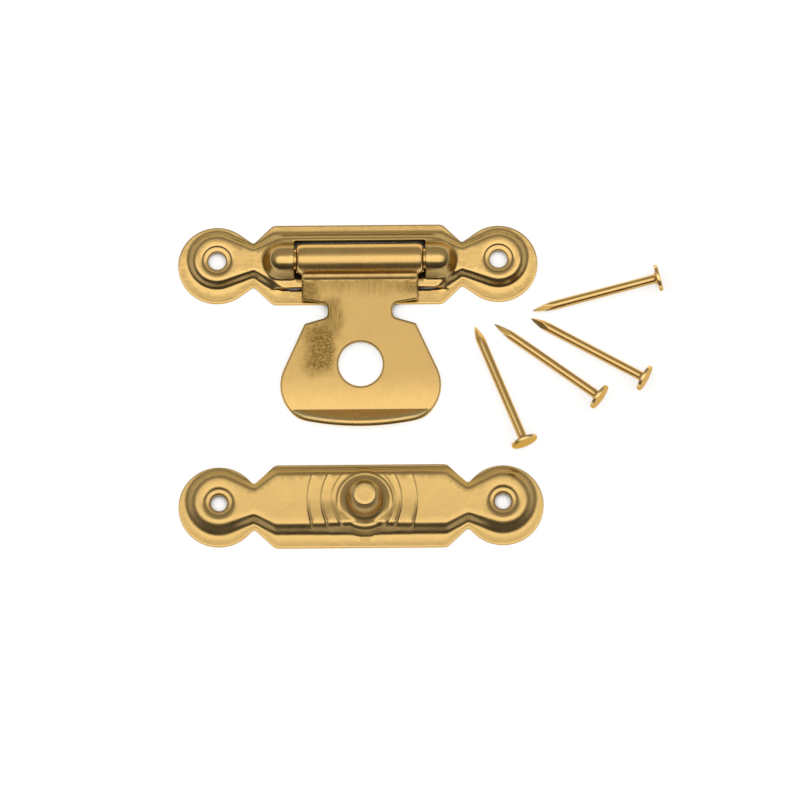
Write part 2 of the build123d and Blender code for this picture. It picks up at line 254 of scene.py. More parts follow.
def finishMesh(mesh, sharpAngle):
    # smooth shading with sharp edges, and an attribute from the bend: 1 on ridges, 0 in creases, 0.5 on
    # flats, which the metal uses for wear and for painted highlights on ridges and painted shade in creases
    # the shortest length in mm that an edge counts as, and in radians per mm the bend where clipping
    # begins and the bend that counts as a full ridge
    shortest, sharpest, fullRidgeBend = 0.02, 5.0, 1.5
    work = bmesh.new()
    work.from_mesh(mesh)
    for face in work.faces:
        face.smooth = True
    for edge in work.edges:
        if len(edge.link_faces) == 2:
            edge.smooth = edge.calc_face_angle() < sharpAngle * deg
    work.to_mesh(mesh)
    work.free()
    count = len(mesh.vertices)
    place = np.empty(count * 3)
    normal = np.empty(count * 3)
    ends = np.empty(len(mesh.edges) * 2, dtype=np.int32)
    mesh.vertices.foreach_get("co", place)
    mesh.vertices.foreach_get("normal", normal)
    mesh.edges.foreach_get("vertices", ends)
    place = place.reshape(-1, 3) / mm
    normal = normal.reshape(-1, 3)
    a, b = ends.reshape(-1, 2).T
    along = place[b] - place[a]
    length = np.maximum(np.linalg.norm(along, axis=1), shortest)
    links = np.bincount(a, minlength=count) + np.bincount(b, minlength=count)
    bend = np.bincount(a, -(normal[a] * along).sum(axis=1) / length**2, count)
    bend += np.bincount(b, (normal[b] * along).sum(axis=1) / length**2, count)
    bend = np.clip(bend / np.maximum(links, 1), -sharpest, sharpest)
    for _ in range(3):
        around = np.bincount(a, bend[b], count) + np.bincount(b, bend[a], count)
        bend = 0.5 * bend + 0.5 * around / np.maximum(links, 1)
    wearAndShading = mesh.attributes.new("wearAndShading", "FLOAT", "POINT")
    wearAndShading.data.foreach_set("value", (0.5 + 0.5 * np.tanh(bend / fullRidgeBend)).astype(np.float32))


def addObject(name, data):
    made = bpy.data.objects.new(name, data)
    bpy.context.scene.collection.objects.link(made)
    return made


def placePiece(name, mesh, body, node, sharpAngle=40.0):
    finishMesh(mesh, sharpAngle)
    mesh.name = name
    piece = addObject(name, mesh)
    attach(piece, body)
    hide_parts(node)
    lowest = min(v.co.z for v in mesh.vertices) / mm
    triangles = sum(len(p.vertices) - 2 for p in mesh.polygons)
    print(f"  {name}: {triangles} triangles, lowest at {lowest:.3f} mm")


# materials

def linear(hexColour):
    # sRGB hex to a linear colour
    parts = [int(hexColour[k:k + 2], 16) / 255 for k in (0, 2, 4)]
    return tuple(c / 12.92 if c <= 0.04045 else ((c + 0.055) / 1.055) ** 2.4 for c in parts) + (1.0,)


def perMetre(millimetres):
    # texture scale that gives a pattern of this size
    return 1000.0 / millimetres


def feedNode(node, inputs):
    # a value is a number or colour, a socket, or a node whose first socket in use is meant
    for key, value in inputs.items():
        if isinstance(value, bpy.types.Node):
            value = next(socket for socket in value.outputs if socket.enabled)
        if isinstance(value, bpy.types.NodeSocket):
            node.id_data.links.new(value, node.inputs[key])
        else:
            node.inputs[key].default_value = value


def addNode(tree, kind, inputs=None, **settings):
    node = tree.nodes.new(kind)
    for key, value in settings.items():
        setattr(node, key, value)
    feedNode(node, inputs or {})
    return node


def brassFinish(name, look):
    # bare brass: colour and gloss follow wear, with painted highlights on ridges, painted shade in creases,
    # on flanks and on cut edges, a slow haze and fine lines left by the tools
    material = bpy.data.materials.new(name)
    material.use_nodes = True
    add = partial(addNode, material.node_tree)
    coordinates = add("ShaderNodeTexCoord").outputs
    place = coordinates["Object"]
    facing = add("ShaderNodeSeparateXYZ", {0: coordinates["Normal"]}).outputs["Z"]
    wearAndShading = add("ShaderNodeAttribute", attribute_name="wearAndShading").outputs["Fac"]
    cutEdge = add("ShaderNodeAttribute", attribute_name="cutEdge").outputs["Fac"]
    haze = add("ShaderNodeTexNoise", {
        "Vector": place, "Scale": perMetre(look["hazeSize"]), "Detail": 4.0, "Roughness": 0.6})
    along = place
    if look["linesFollow"]:
        along = add("ShaderNodeAttribute", attribute_name=look["linesFollow"]).outputs["Vector"]
    drawn = add("ShaderNodeVectorMath", {
        0: along, 1: tuple(perMetre(size) for size in look["lineSize"])}, operation="MULTIPLY")
    lines = add("ShaderNodeTexNoise", {
        "Vector": drawn, "Scale": 1.0, "Detail": 3.0, "Roughness": 0.6}, name="lines")
    lineTone = add("ShaderNodeMath", {0: lines, 1: 0.5}, operation="SUBTRACT")
    tone = add("ShaderNodeMath", {0: lineTone, 1: look["lineTone"], 2: haze}, operation="MULTIPLY_ADD")
    # a Mix node set to colour keeps its colour sockets at 6 and 7
    colour = add("ShaderNodeMix", {
        0: tone, 6: linear(look["shade"]), 7: linear(look["colour"])}, data_type="RGBA")
    # painted light and shade: ridges are painted brighter, a highlight as well as wear; creases take a shade
    # tone, brown on the plates and paler on the leaf and wire, where they mirror other brass; flanks are
    # painted darker as shade, and steep walls mostly mirror other brass, which colours the light twice, so
    # they are painted less yellow and made duller
    shares = {}
    for layer, source, first, full in (("ridge", wearAndShading, 0.56, 0.9), ("crease", wearAndShading, 0.44, 0.12),
                                       ("flank", facing, 0.9, 0.72), ("wall", facing, 0.6, 0.35)):
        shares[layer] = add("ShaderNodeMapRange", {
            "Value": source, "From Min": first, "From Max": full, "To Max": look.get(layer + "Share", 1.0)})
    # the sheared edges are painted a darker olive: painted shade along the outline
    for layer, share in (*shares.items(), ("cutEdge", cutEdge)):
        colour = add("ShaderNodeMix", {0: share, 6: colour, 7: linear(look[layer])}, data_type="RGBA")
    colour.name = "colour"
    gloss = add("ShaderNodeMapRange", {
        "Value": haze, "From Min": 0.3, "From Max": 0.7,
        "To Min": look["roughness"] - look["roughnessSpread"],
        "To Max": look["roughness"] + look["roughnessSpread"]})
    for layer in ("crease", "wall"):
        gloss = add("ShaderNodeMath", {0: shares[layer], 1: look[layer + "Roughness"], 2: gloss},
                    operation="MULTIPLY_ADD")
    gloss.name = "gloss"
    grain = add("ShaderNodeTexNoise", {
        "Vector": place, "Scale": perMetre(look["grainSize"]), "Detail": 3.0, "Roughness": 0.55})
    # heights are added up in mm: slow waves of the sheet, tool lines and grain
    height = add("ShaderNodeMath", {0: haze, 1: look["waveDepth"]}, operation="MULTIPLY")
    for texture, depth in ((lines, look["lineDepth"]), (grain, look["grainDepth"])):
        height = add("ShaderNodeMath", {0: texture, 1: depth, 2: height}, operation="MULTIPLY_ADD")
    height.name = "height"
    bump = add("ShaderNodeBump", {"Height": height, "Distance": mm, "Strength": 1.0}, name="bump")
    feedNode(material.node_tree.nodes["Principled BSDF"], {
        "Metallic": 1.0, "Specular Tint": linear("FFE3A8"),  # brass stays yellow at a low angle
        "Base Color": colour, "Roughness": gloss, "Normal": bump})
    return material


# Stamped brass sheet straight from the press: bright and a little wavy, ridges painted yellow as a
# highlight, creases brown and flanks darker as painted shade
stampedLook = {
    "colour": "F4CB80", "shade": "E6BC72", "ridge": "FFD994", "crease": "B89F68",
    "flank": "AE9360", "wall": "C3A76E", "cutEdge": "CDA75C",
    "roughness": 0.21, "roughnessSpread": 0.05, "creaseRoughness": 0.08, "wallRoughness": 0.2,
    "hazeSize": 2.4, "waveDepth": 0.03, "grainSize": 0.35, "grainDepth": 0.002,
    "linesFollow": "", "lineSize": (0.14, 1.6, 1.6), "lineTone": 0.5, "lineDepth": 0.002}
stampedBrass = brassFinish("stamped bright brass", stampedLook)

# Drawn brass sheet, satin after tumbling: the same yellow with softer lights and a faint tooth
satinBrass = brassFinish("tumbled satin brass", stampedLook | {
    "colour": "F1CA80", "shade": "E0B76E", "crease": "C6AE76", "roughness": 0.3, "creaseRoughness": 0.06,
    "hazeSize": 1.8, "grainSize": 0.25, "grainDepth": 0.003, "lineSize": (0.12, 1.5, 1.5), "lineTone": 0.7})

# Brushed brass sheet: fine lines run along the leaf, with a rubbed grainy patch beside the hole
brushedBrass = brassFinish("brushed brass sheet", stampedLook | {
    "colour": "F4C97E", "shade": "E2B86E", "crease": "E8D7AC", "flankShare": 0.0, "wall": "E2C78C",
    "cutEdge": "D3AC62", "roughness": 0.27, "roughnessSpread": 0.04, "wallRoughness": 0.0,
    "hazeSize": 3.0, "waveDepth": 0.02, "grainSize": 0.3,
    "linesFollow": "blankPlace", "lineSize": (0.11, 2.4, 2.4), "lineTone": 0.9, "lineDepth": 0.003})

# what handling and tools left on the leaf, and painted light and shade: a darker tone over its flat, shade
# in its upper corners and under the roll, and a paler, painted reflection on the lip's face; in mm on the
# flat blank: start, full, full and end of each side
leafMarksAndShade = {
    "dullerAndShaded": {"across": (-9.7, -9.6, 9.6, 9.7), "along": (2.55, 6.75, 17.05, 17.75), "dark": 1.0},
    "rubbed": {"across": (-7.2, -4.9, -3.4, -2.5), "along": (5.55, 7.55, 10.75, 13.15), "dark": 1.0},
    "notchStreaks": {"across": (-4.6, -3.7, -2.9, -1.2), "along": (9.55, 11.35, 13.95, 15.55), "dark": 0.9},
    "leftCornerShade": {"across": (-6.8, -6.7, -5.7, -3.6), "along": (13.75, 14.75, 16.65, 16.9), "dark": 0.9},
    "rightCornerShade": {"across": (3.6, 5.7, 6.7, 6.8), "along": (14.75, 15.95, 16.65, 16.9), "dark": 0.8},
    "underRollShade": {"across": (-6.8, -6.7, 6.7, 6.8), "along": (14.35, 16.65, 16.75, 16.9), "dark": 0.6},
    "lipFace": {"across": (-9.7, -9.6, 9.6, 9.7), "along": (0.4, 0.7, 1.85, 2.1), "dark": 0.3},
}
markAndShadeLooks = {
    # a greyer tone for the painted shade over the leaf's flat, and its extra roughness
    "dullerAndShaded": "EDEFEF", "dullerAndShadedRoughness": 0.13,
    "lipFace": "F4D592",     # it mirrors the leaf it stands on, so it is given paler
    # the dark colour of the handling marks, also used for the painted shade in the corners and under the
    # roll
    "marksAndShade": "8F7236", "marksAndShadeRoughness": 0.12,
    "wormSize": 0.24, "wormDepth": 0.006,  # grain as fine as etched brass, drawn just wide enough to show
    "wanderScale": 0.9, "wander": 1.8,     # a slow noise moves the marks' edges within this many mm
}


def markAndShadeLeaf(tree, marksAndShade, look):
    add = partial(addNode, tree)
    lines, colour, gloss, height, bump = map(tree.nodes.get, ("lines", "colour", "gloss", "height", "bump"))
    blankPlace = add("ShaderNodeAttribute", attribute_name="blankPlace").outputs["Vector"]
    blankMm = add("ShaderNodeVectorMath", {0: blankPlace, "Scale": 1000.0}, operation="SCALE")
    wander = add("ShaderNodeTexNoise", {
        "Vector": blankMm, "Scale": look["wanderScale"], "Detail": 3.0, "Roughness": 0.6})
    reach = look["wander"]
    moved = add("ShaderNodeVectorMath", {0: wander.outputs["Color"], 1: (reach, reach, 0.0), 2: blankMm},
                operation="MULTIPLY_ADD")
    moved = add("ShaderNodeVectorMath", {0: moved, 1: (reach / 2, reach / 2, 0.0)}, operation="SUBTRACT")
    axes = add("ShaderNodeSeparateXYZ", {0: moved}).outputs
    # only the outer skin was handled and brushed; the marks, the painted shade and the lip's paler face go
    # on it alone
    outerSkin = add("ShaderNodeMapRange", {"Value": axes["Z"], "From Min": -0.05, "From Max": 0.05})
    worms = add("ShaderNodeTexNoise", {
        "Vector": blankMm, "Scale": 1.0 / look["wormSize"], "Detail": 2.0, "Distortion": 1.0})
    grained = add("ShaderNodeMapRange", {
        "Value": worms, "From Min": 0.42, "From Max": 0.62, "To Min": 1.0, "To Max": 0.45})
    streaked = add("ShaderNodeMapRange", {
        "Value": lines, "From Min": 0.35, "From Max": 0.62, "To Min": 1.0, "To Max": 0.35})

    def markShare(mark, texture=None):
        # how strongly a mark shows at each point: full inside, fading over its sides
        share = None
        for axis, sides in (("X", mark["across"]), ("Y", mark["along"])):
            for start, full in (sides[:2], sides[:1:-1]):
                side = add("ShaderNodeMapRange", {
                    "Value": axes[axis], "From Min": start, "From Max": full,
                    "To Max": 1.0 if share else mark["dark"]}, interpolation_type="SMOOTHSTEP")
                share = add("ShaderNodeMath", {0: share, 1: side}, operation="MULTIPLY") if share else side
        return add("ShaderNodeMath", {0: share, 1: texture}, operation="MULTIPLY") if texture else share

    # painted shade: a greyer, darker tone over the flat, fading in up from the lip so that the lip end reads
    # lighter, with more roughness as well
    dullerAndShaded = markShare(marksAndShade["dullerAndShaded"])
    dulledAndShaded = add("ShaderNodeMix", {
        0: dullerAndShaded, 6: linear("FFFFFF"), 7: linear(look["dullerAndShaded"])}, data_type="RGBA")
    dulledAndShaded = add("ShaderNodeMix", {0: 1.0, 6: colour, 7: dulledAndShaded}, data_type="RGBA", blend_type="MULTIPLY")
    # the rubbed patch and the streaks by the notch are handling marks; the upper corners and the band under
    # the roll get the same dark colour and grain as painted shade
    share = markShare(marksAndShade["rubbed"], grained)
    for name in ("notchStreaks", "leftCornerShade", "rightCornerShade", "underRollShade", "lipFace"):
        texture = streaked if name in ("notchStreaks", "underRollShade") else grained
        share = add("ShaderNodeMath", {0: share, 1: markShare(marksAndShade[name], texture)}, operation="MAXIMUM")
    share = add("ShaderNodeMath", {0: share, 1: outerSkin}, operation="MULTIPLY")
    lip = outerSkin
    for start, full in (marksAndShade["lipFace"]["along"][:2], marksAndShade["lipFace"]["along"][:1:-1]):
        side = add("ShaderNodeMapRange", {"Value": axes["Y"], "From Min": start, "From Max": full})
        lip = add("ShaderNodeMath", {0: lip, 1: side}, operation="MULTIPLY")
    for part, layer in ((lip, "lipFace"), (share, "marksAndShade")):
        dulledAndShaded = add("ShaderNodeMix", {0: part, 6: dulledAndShaded, 7: linear(look[layer])}, data_type="RGBA")
    for part, layer in ((dullerAndShaded, "dullerAndShaded"), (share, "marksAndShade")):
        gloss = add("ShaderNodeMath", {0: part, 1: look[layer + "Roughness"], 2: gloss},
                    operation="MULTIPLY_ADD")
    etched = add("ShaderNodeMath", {0: share, 1: -look["wormDepth"], 2: height}, operation="MULTIPLY_ADD")
    feedNode(bump, {"Height": etched})
    feedNode(tree.nodes["Principled BSDF"], {"Base Color": dulledAndShaded, "Roughness": gloss})


markAndShadeLeaf(brushedBrass.node_tree, leafMarksAndShade, markAndShadeLooks)

# Drawn brass wire with a headed end: deeper yellow, tight lights down the shank
wireLook = stampedLook | {
    "colour": "F0C67A", "shade": "DDAE60", "crease": "DAC48C", "flankShare": 0.0, "wall": "C4A062",
    "cutEdge": "A5793A", "roughness": 0.22, "roughnessSpread": 0.04, "wallRoughness": 0.0,
    "hazeSize": 1.6, "waveDepth": 0.01, "grainSize": 0.22,
    "lineSize": (0.6, 0.6, 0.6), "lineTone": 0.3, "lineDepth": 0.0}
drawnWire = brassFinish("drawn brass nail wire", wireLook)
print("materials made")


# both pressed plates

def plateLoop(lobeX, lobeR, neckX, neckHalf, shoulderX, bodyHalf, bodyY, lobeY, neckY):
    # two round lobes, straight-sided necks and a long body with cut-off shoulders
    def touchAt(rise):
        across = neckX - lobeX
        return math.atan2(rise, across) - math.acos(lobeR / math.hypot(across, rise))

    touchBack, touchFront = touchAt(neckHalf + neckY - lobeY), touchAt(neckHalf - neckY + lobeY)
    shoulderRound, neckRound = 0.9, 0.35
    right, left = ([(x, y, 0) for x, y in arcLine(side * lobeX, lobeY, lobeR, start, end, step=0.22)]
                   for side, start, end in ((1, -touchFront, touchBack),
                                            (-1, math.pi - touchBack, math.pi + touchFront)))
    back = [(neckX, neckY + neckHalf, neckRound), (shoulderX, bodyY + bodyHalf, shoulderRound),
            (-shoulderX, bodyY + bodyHalf, shoulderRound), (-neckX, neckY + neckHalf, neckRound)]
    front = [(-x, 2 * (bodyY if abs(x) == shoulderX else neckY) - y, r) for x, y, r in back]
    return spacedLoop(roundCorners(right + back + left + front))


def sheetLoops(size):
    # the outline three times: at the pressed form's crest, at its foot and at the cut edge
    lobeR, neckHalf, bodyHalf, crestY = size["crest"]
    lobeFlank, neckFlank, bodyFlank, footY = size["flank"]
    lobeRim, neckRim, bodyRim, blankY = size["rim"]
    holeX = size["nailSpacing"] / 2
    blankLobe = lobeR + lobeFlank + lobeRim
    blankNeck = neckHalf + neckFlank + neckRim
    neckX = holeX - math.sqrt(blankLobe**2 + size["neckRun"]**2 - blankNeck**2)
    shoulderX = neckX - size["shoulderRun"]
    crestLobeY, footLobeY = size["lobeShift"]
    crest = plateLoop(holeX, lobeR, neckX, neckHalf, neckX - size["crestShoulderRun"], bodyHalf, crestY,
                      crestLobeY, 0.0)
    foot = plateLoop(holeX, lobeR + lobeFlank, neckX, neckHalf + neckFlank, shoulderX,
                     bodyHalf + bodyFlank, footY, footLobeY, 0.0)
    blank = plateLoop(holeX, blankLobe, neckX, blankNeck, shoulderX,
                      bodyHalf + bodyFlank + bodyRim, blankY, blankY, blankY)
    return crest, foot, blank


def seatRings(size):
    # where the dish under each nail's head begins
    return [ringLoop(side * size["nailSpacing"] / 2, 0.0, size["seatMouth"], 72) for side in (-1, 1)]


def flankRows(crest, foot, size):
    # guide lines that follow the bends at the foot and the crest
    footReach, crestReach = size["footBend"], size["crestBend"]
    rows = [(shiftLoop(foot, k * footReach), True, 0.1) for k in (-1, -0.5, 0, 0.5, 1)]
    rows += [(shiftLoop(crest, k * crestReach), True, 0.1) for k in (-1, -0.6, -0.3, 0, 0.3, 0.6, 1)]
    return rows


def pressedHeight(insideFoot, insideCrest, fromEdge, y, size):
    # height of the upper skin: a rim, a sloping flank and a crest, with rounded bends
    # the rim droops to its edge at the back and lifts a little at the front, as the press left it
    frontToBack, liftReach = 4.0, 0.7  # mm over which droop takes over from lift, and where the lift fades
    far = ease(0.5 + y / frontToBack)
    slope = softRamp(insideFoot, size["footBend"]) - softRamp(insideCrest, size["crestBend"])
    lift = np.exp(-np.maximum(fromEdge, 0.0) / liftReach)
    rim = size["sheet"] + far * size["rimDroop"] * (1.0 - lift) + (1.0 - far) * size["rimLift"] * lift
    return rim + (size["rise"] - rim) * slope / (insideFoot - insideCrest)


# the collar drawn down to the case: how far out from the hole's edge, and height
nailCollar = ((0.0, 0.72), (0.05, 0.55), (0.12, 0.3), (0.18, 0.1), (0.19, 0.03), (0.22, 0.0), (0.42, 0.0),
              (0.46, 0.03), (0.47, 0.15))


def nailSeat(verts, faces, topRing, bottomRing, centre, size):
    # the dish under a nail's head, the collar round its hole, and the underside, a little wider
    hole, wider, collarEnd = size["holeR"], 0.25, 0.5
    topZ, bottomZ = (np.array([verts[i][2] for i in ring]) for ring in (topRing, bottomRing))
    rows = [(radius, topZ - depth) for radius, depth in size["seat"]]
    rows += [(hole + out, height) for out, height in nailCollar]
    rows += [(radius + wider, bottomZ - depth) for radius, depth in size["seat"][::-1]
             if hole + collarEnd < radius + wider < size["seatMouth"]]
    turnStrip(verts, faces, topRing, centre, rows, endRing=bottomRing)


def closePlate(flat, triangles, top, bottom, cut, openRings, size):
    # both skins, rounded at the cut edges, and a nail's seat in each of the last two open rings
    top, bottom = roundedSkins(top, bottom, cut, size)
    verts, faces = sheetShell(flat, triangles, top, bottom, openRings)
    for side, ring in zip((-1, 1), openRings[-2:]):
        nailSeat(verts, faces, ring, [i + len(flat) for i in ring],
                 (side * size["nailSpacing"] / 2, 0.0), size)
    return verts, faces


# hinge plate
hingePlate = {
    "sheet": 0.4,
    "nailSpacing": 31.4,
    "crest": (2.55, 1.25, 2.73, -0.26),  # lobe radius, neck half, body half, body's Y
    "flank": (0.72, 0.5, 0.6, -0.1),     # how much wider the foot is, and its Y
    "rim": (1.08, 0.7, 1.22, -0.4),      # how much wider the cut edge is, and its Y
    "lobeShift": (0.12, 0.16),           # Y of the crest's and the foot's lobes
    "neckRun": 1.9, "shoulderRun": 2.2, "crestShoulderRun": 3.4,
    "footBend": 0.24, "crestBend": 0.3, "rimDroop": 0.012, "rimLift": 0.035,
    "rise": 1.342,
    "holeR": 1.0, "seatMouth": 1.95,
    "seat": ((1.88, 0.005), (1.8, 0.015), (1.72, 0.035), (1.66, 0.06), (1.61, 0.1), (1.57, 0.14),
             (1.53, 0.165), (1.47, 0.18), (1.38, 0.19), (1.28, 0.2), (1.18, 0.215), (1.1, 0.24),
             (1.05, 0.28), (1.02, 0.34), (1.005, 0.45)),  # radius and depth down the dish
    "coverR": 1.68, "boreR": 1.28, "coverFoot": 2.1, "coverStart": 7.34, "coverEnd": 8.69,
    "coverFillet": 0.5, "coverBlend": (0.25, 0.24),  # how far before their start they rise, and the run
    "windowFront": -2.25, "windowBack": 2.2, "windowRound": 0.2,
    "slitEnd": 9.95, "slitFront": -3.36, "slitBack": -3.16,
    "slitFade": (0.2, 1.3),              # how far before the slit's end its sides begin to part, and the run
    "edgeRound": 0.07, "underShare": 0.6,
    "strapStart": 7.64, "strapWidth": 0.9,
    "neckCrease": (12.1, 0.06, 0.32),   # X, depth and half width of the fold across each neck
}


def coverHeight(distance, radius, footHalf, footZ):
    # a half-round cover over the pin, with straight sides that run from it down to its foot
    drop = footZ - hingeLine["z"]
    reach = math.hypot(footHalf, drop)
    turn = math.atan2(drop, footHalf) + math.acos(radius / reach)
    touchD, touchZ = radius * math.cos(turn), hingeLine["z"] + radius * math.sin(turn)
    slope = (touchZ - footZ) / (footHalf - touchD)
    crown = hingeLine["z"] + np.sqrt(np.maximum(radius**2 - distance**2, 0.0))
    return np.where(distance < touchD, crown, touchZ - slope * (distance - touchD))


def makeHingePlate(size):
    crest, foot, blank = sheetLoops(size)
    middleX, pinY = hingeLine["x"], hingeLine["y"]
    start, end, foothold = size["coverStart"], size["coverEnd"], size["coverFoot"]
    front, back = size["windowFront"], size["windowBack"]
    corners = [(middleX + a, b, size["windowRound"])
               for a, b in ((-start, front), (start, front), (start, back), (-start, back))]
    window = spacedLoop(roundCorners(corners, step=0.06), step=0.22)
    slitEnd, slitFront, slitBack = size["slitEnd"], size["slitFront"], size["slitBack"]
    # the slit's right half: along its front, round its thin end and back
    half = [(slitEnd - 2.5, slitFront, 0.3), (slitEnd - 1.6, slitFront + 0.08, 0.3),
            (slitEnd, slitBack - 0.1, 0.0), (slitEnd - 1.6, slitBack - 0.06, 0.3),
            (start - 0.2, slitBack, 0.3)]
    whole = [(middleX + a, b, r) for a, b, r in half] + [(middleX - a, b, r) for a, b, r in half[::-1]]
    slit = spacedLoop(roundCorners(whole, step=0.06), step=0.22)
    guides = cutGuides(blank, (0.02, 0.07, 0.18, 0.35, 0.55, 0.78))
    guides += cutGuides(window, (-0.02, -0.07)) + cutGuides(slit, (-0.02, -0.07))
    guides += flankRows(crest, foot, size)
    creaseAt, creaseDepth, creaseHalf = size["neckCrease"]
    for side in (-1, 1):
        for k in np.linspace(-2.2, 2.2, 9):
            line = [(side * (creaseAt + k * creaseHalf), y) for y in np.linspace(-1.6, 1.6, 15)]
            guides.append((line, False, 0.1))
    covers = (0.0, 0.3, 0.6, 0.85, 1.05, 1.2, 1.32, 1.42, 1.52, 1.64, 1.76, 1.88, 1.97, 2.04, 2.1, 2.17,
              2.25, 2.34)
    for side in (-1, 1):
        for d in covers:
            line = [(start + 0.1 + k * 0.25, -d) for k in range(5)]
            if d > 0:
                line += arcLine(end, 0.0, d, -math.pi / 2, math.pi / 2, 0.16)
                line += [(x, -y) for x, y in line[4::-1]]
            else:
                line += [(end, 0.0)]
            guides.append(([(middleX + side * x, pinY + y) for x, y in line], False, 0.05))
    flat, triangles, rings = fillRegion(blank, [window, slit] + seatRings(size), guides, seedStep=0.42)

    x, y = flat.T
    insideFoot, insideCrest = insideBy(flat, foot), insideBy(flat, crest)
    # along the slit the strip stays up and the rim stays down right to the cut
    nearSlit = ease((slitEnd - size["slitFade"][0] - np.abs(x - middleX)) / size["slitFade"][1])
    strip = nearSlit * (y < 0) * (y > (slitFront + slitBack) / 2)
    rim = nearSlit * (y <= (slitFront + slitBack) / 2)
    insideCrest += strip * (np.maximum(insideCrest, size["crestBend"]) - insideCrest)
    insideFoot += rim * (np.minimum(insideFoot, -size["footBend"]) - insideFoot)
    sheetTop = pressedHeight(insideFoot, insideCrest, insideBy(flat, blank), y, size)
    # the strip was bent a little where each lobe meets its neck
    level = np.clip((sheetTop - size["sheet"]) / (size["rise"] - size["sheet"]), 0, 1)
    sheetTop = sheetTop - level * creaseDepth * np.exp(-((np.abs(x) - creaseAt) / creaseHalf) ** 2)
    across = np.abs(x - middleX)
    distance = np.hypot(np.maximum(across - end, 0.0), y - pinY)
    onCover = ease((across - start + size["coverBlend"][0]) / size["coverBlend"][1])
    outer = coverHeight(distance, size["coverR"], foothold, size["rise"])
    inner = coverHeight(distance, size["boreR"], foothold - size["sheet"], size["rise"] - size["sheet"])
    top = sheetTop + onCover * (softMax(sheetTop, outer, size["coverFillet"]) - sheetTop)
    sheetBottom = sheetTop - size["sheet"]
    bottom = sheetBottom + onCover * (np.maximum(sheetBottom, inner) - sheetBottom)
    cut = np.minimum(insideBy(flat, blank), np.minimum(-insideBy(flat, window), -insideBy(flat, slit)))
    verts, faces = closePlate(flat, triangles, top, bottom, cut, rings[3:], size)
    # the tabs folded under the pin
    turns = np.linspace(math.pi - 0.1, 2 * math.pi + 0.1, 29)
    for side in (-1, 1):
        first = len(verts)
        for a in turns:
            for radius, along in ((size["boreR"], 0), (size["coverR"], 0), (size["coverR"], 1),
                                  (size["boreR"], 1)):
                verts.append((middleX + side * (size["strapStart"] + along * size["strapWidth"]),
                              pinY + radius * math.cos(a), hingeLine["z"] + radius * math.sin(a)))
        loops = [[first + 4 * k + j for j in range(4)] for k in range(len(turns))]
        tab = [(p[j], p[(j + 1) % 4], q[(j + 1) % 4], q[j])
               for p, q in zip(loops, loops[1:]) for j in range(4)]
        tab += [tuple(loops[0][::-1]), tuple(loops[-1])]
        faces += [f if side > 0 else f[::-1] for f in tab]
    return meshFrom("hingePlate", verts, faces, cut)


hingeMesh = makeHingePlate(hingePlate)
hingeMesh.materials.append(stampedBrass)
placePiece("stampedHingePlate", hingeMesh, "plates", "hinge_plate")
print("hinge plate made")


# stud plate
studPlate = {
    "sheet": 0.4,
    "nailSpacing": 31.46,
    "place": (0.18, -27.65),
    "crest": (2.75, 1.55, 2.95, 0.33),
    "flank": (0.9, 0.5, 0.75, 0.2),
    "rim": (0.85, 0.45, 1.0, -0.33),
    "lobeShift": (0.28, 0.1),
    "neckRun": 1.0, "shoulderRun": 2.35, "crestShoulderRun": 2.3,
    "footBend": 0.32, "crestBend": 0.4, "rimDroop": 0.0, "rimLift": 0.05,
    "rise": 1.5, "hollow": 0.03,
    "holeR": 0.92, "seatMouth": 2.0,
    "seat": ((1.92, 0.01), (1.84, 0.03), (1.76, 0.06), (1.68, 0.1), (1.6, 0.15), (1.53, 0.2), (1.47, 0.24),
             (1.4, 0.265), (1.31, 0.28), (1.2, 0.295), (1.1, 0.32), (1.02, 0.37), (0.96, 0.44),
             (0.925, 0.54)),
    "stud": (0.42, 0.1), "latheR": 2.6,
    "studSide": ((2.45, 1.92), (2.3, 2.01), (2.19, 2.09), (2.12, 2.14), (2.06, 2.18), (2.01, 2.24),
                 (1.98, 2.33), (1.96, 2.5), (1.95, 2.75), (1.94, 3.05), (1.92, 3.33), (1.89, 3.6),
                 (1.85, 3.86), (1.79, 4.08), (1.71, 4.26), (1.61, 4.41), (1.51, 4.53), (1.42, 4.63),
                 (1.34, 4.72), (1.28, 4.79), (1.22, 4.85), (1.16, 4.885), (1.08, 4.9), (0.7, 4.9),
                 (0.35, 4.895)),
    "studBore": ((2.3, 1.5), (1.75, 1.73), (1.6, 1.78), (1.55, 1.86), (1.55, 2.6), (1.55, 3.3),
                 (1.48, 3.65), (1.32, 3.98), (1.15, 4.2), (0.9, 4.4), (0.6, 4.48), (0.3, 4.5)),
    # drawing lines either side of the stud: which side, middle's X from the stud, radius, step, bead
    "drawLines": ((-1, 2.1, 8.4, 0.035, 0.05), (-1, 1.0, 5.8, 0.045, 0.05), (-1, 0.24, 3.9, 0.03, 0.03),
                  (1, -2.2, 7.95, 0.035, 0.05), (1, -1.96, 5.97, 0.045, 0.05), (1, -0.5, 3.8, 0.03, 0.03)),
    "stepW": 0.24, "beadHalf": 0.11, "lineStart": 1.5, "lineDeepening": 2.2, "deepeningRun": 2.7,
    "moundFillet": 0.06,
    "edgeRound": 0.08, "underShare": 0.6,
}


def moundHeight(r):
    # the drawn mound round the stud, from the lathed part outwards
    return np.interp(r, (2.07, 2.75, 2.8, 3.0, 3.05, 3.35, 3.8, 9.0),
                     (2.15, 1.76, 1.75, 1.75, 1.72, 1.5, 0.6, -9.0))


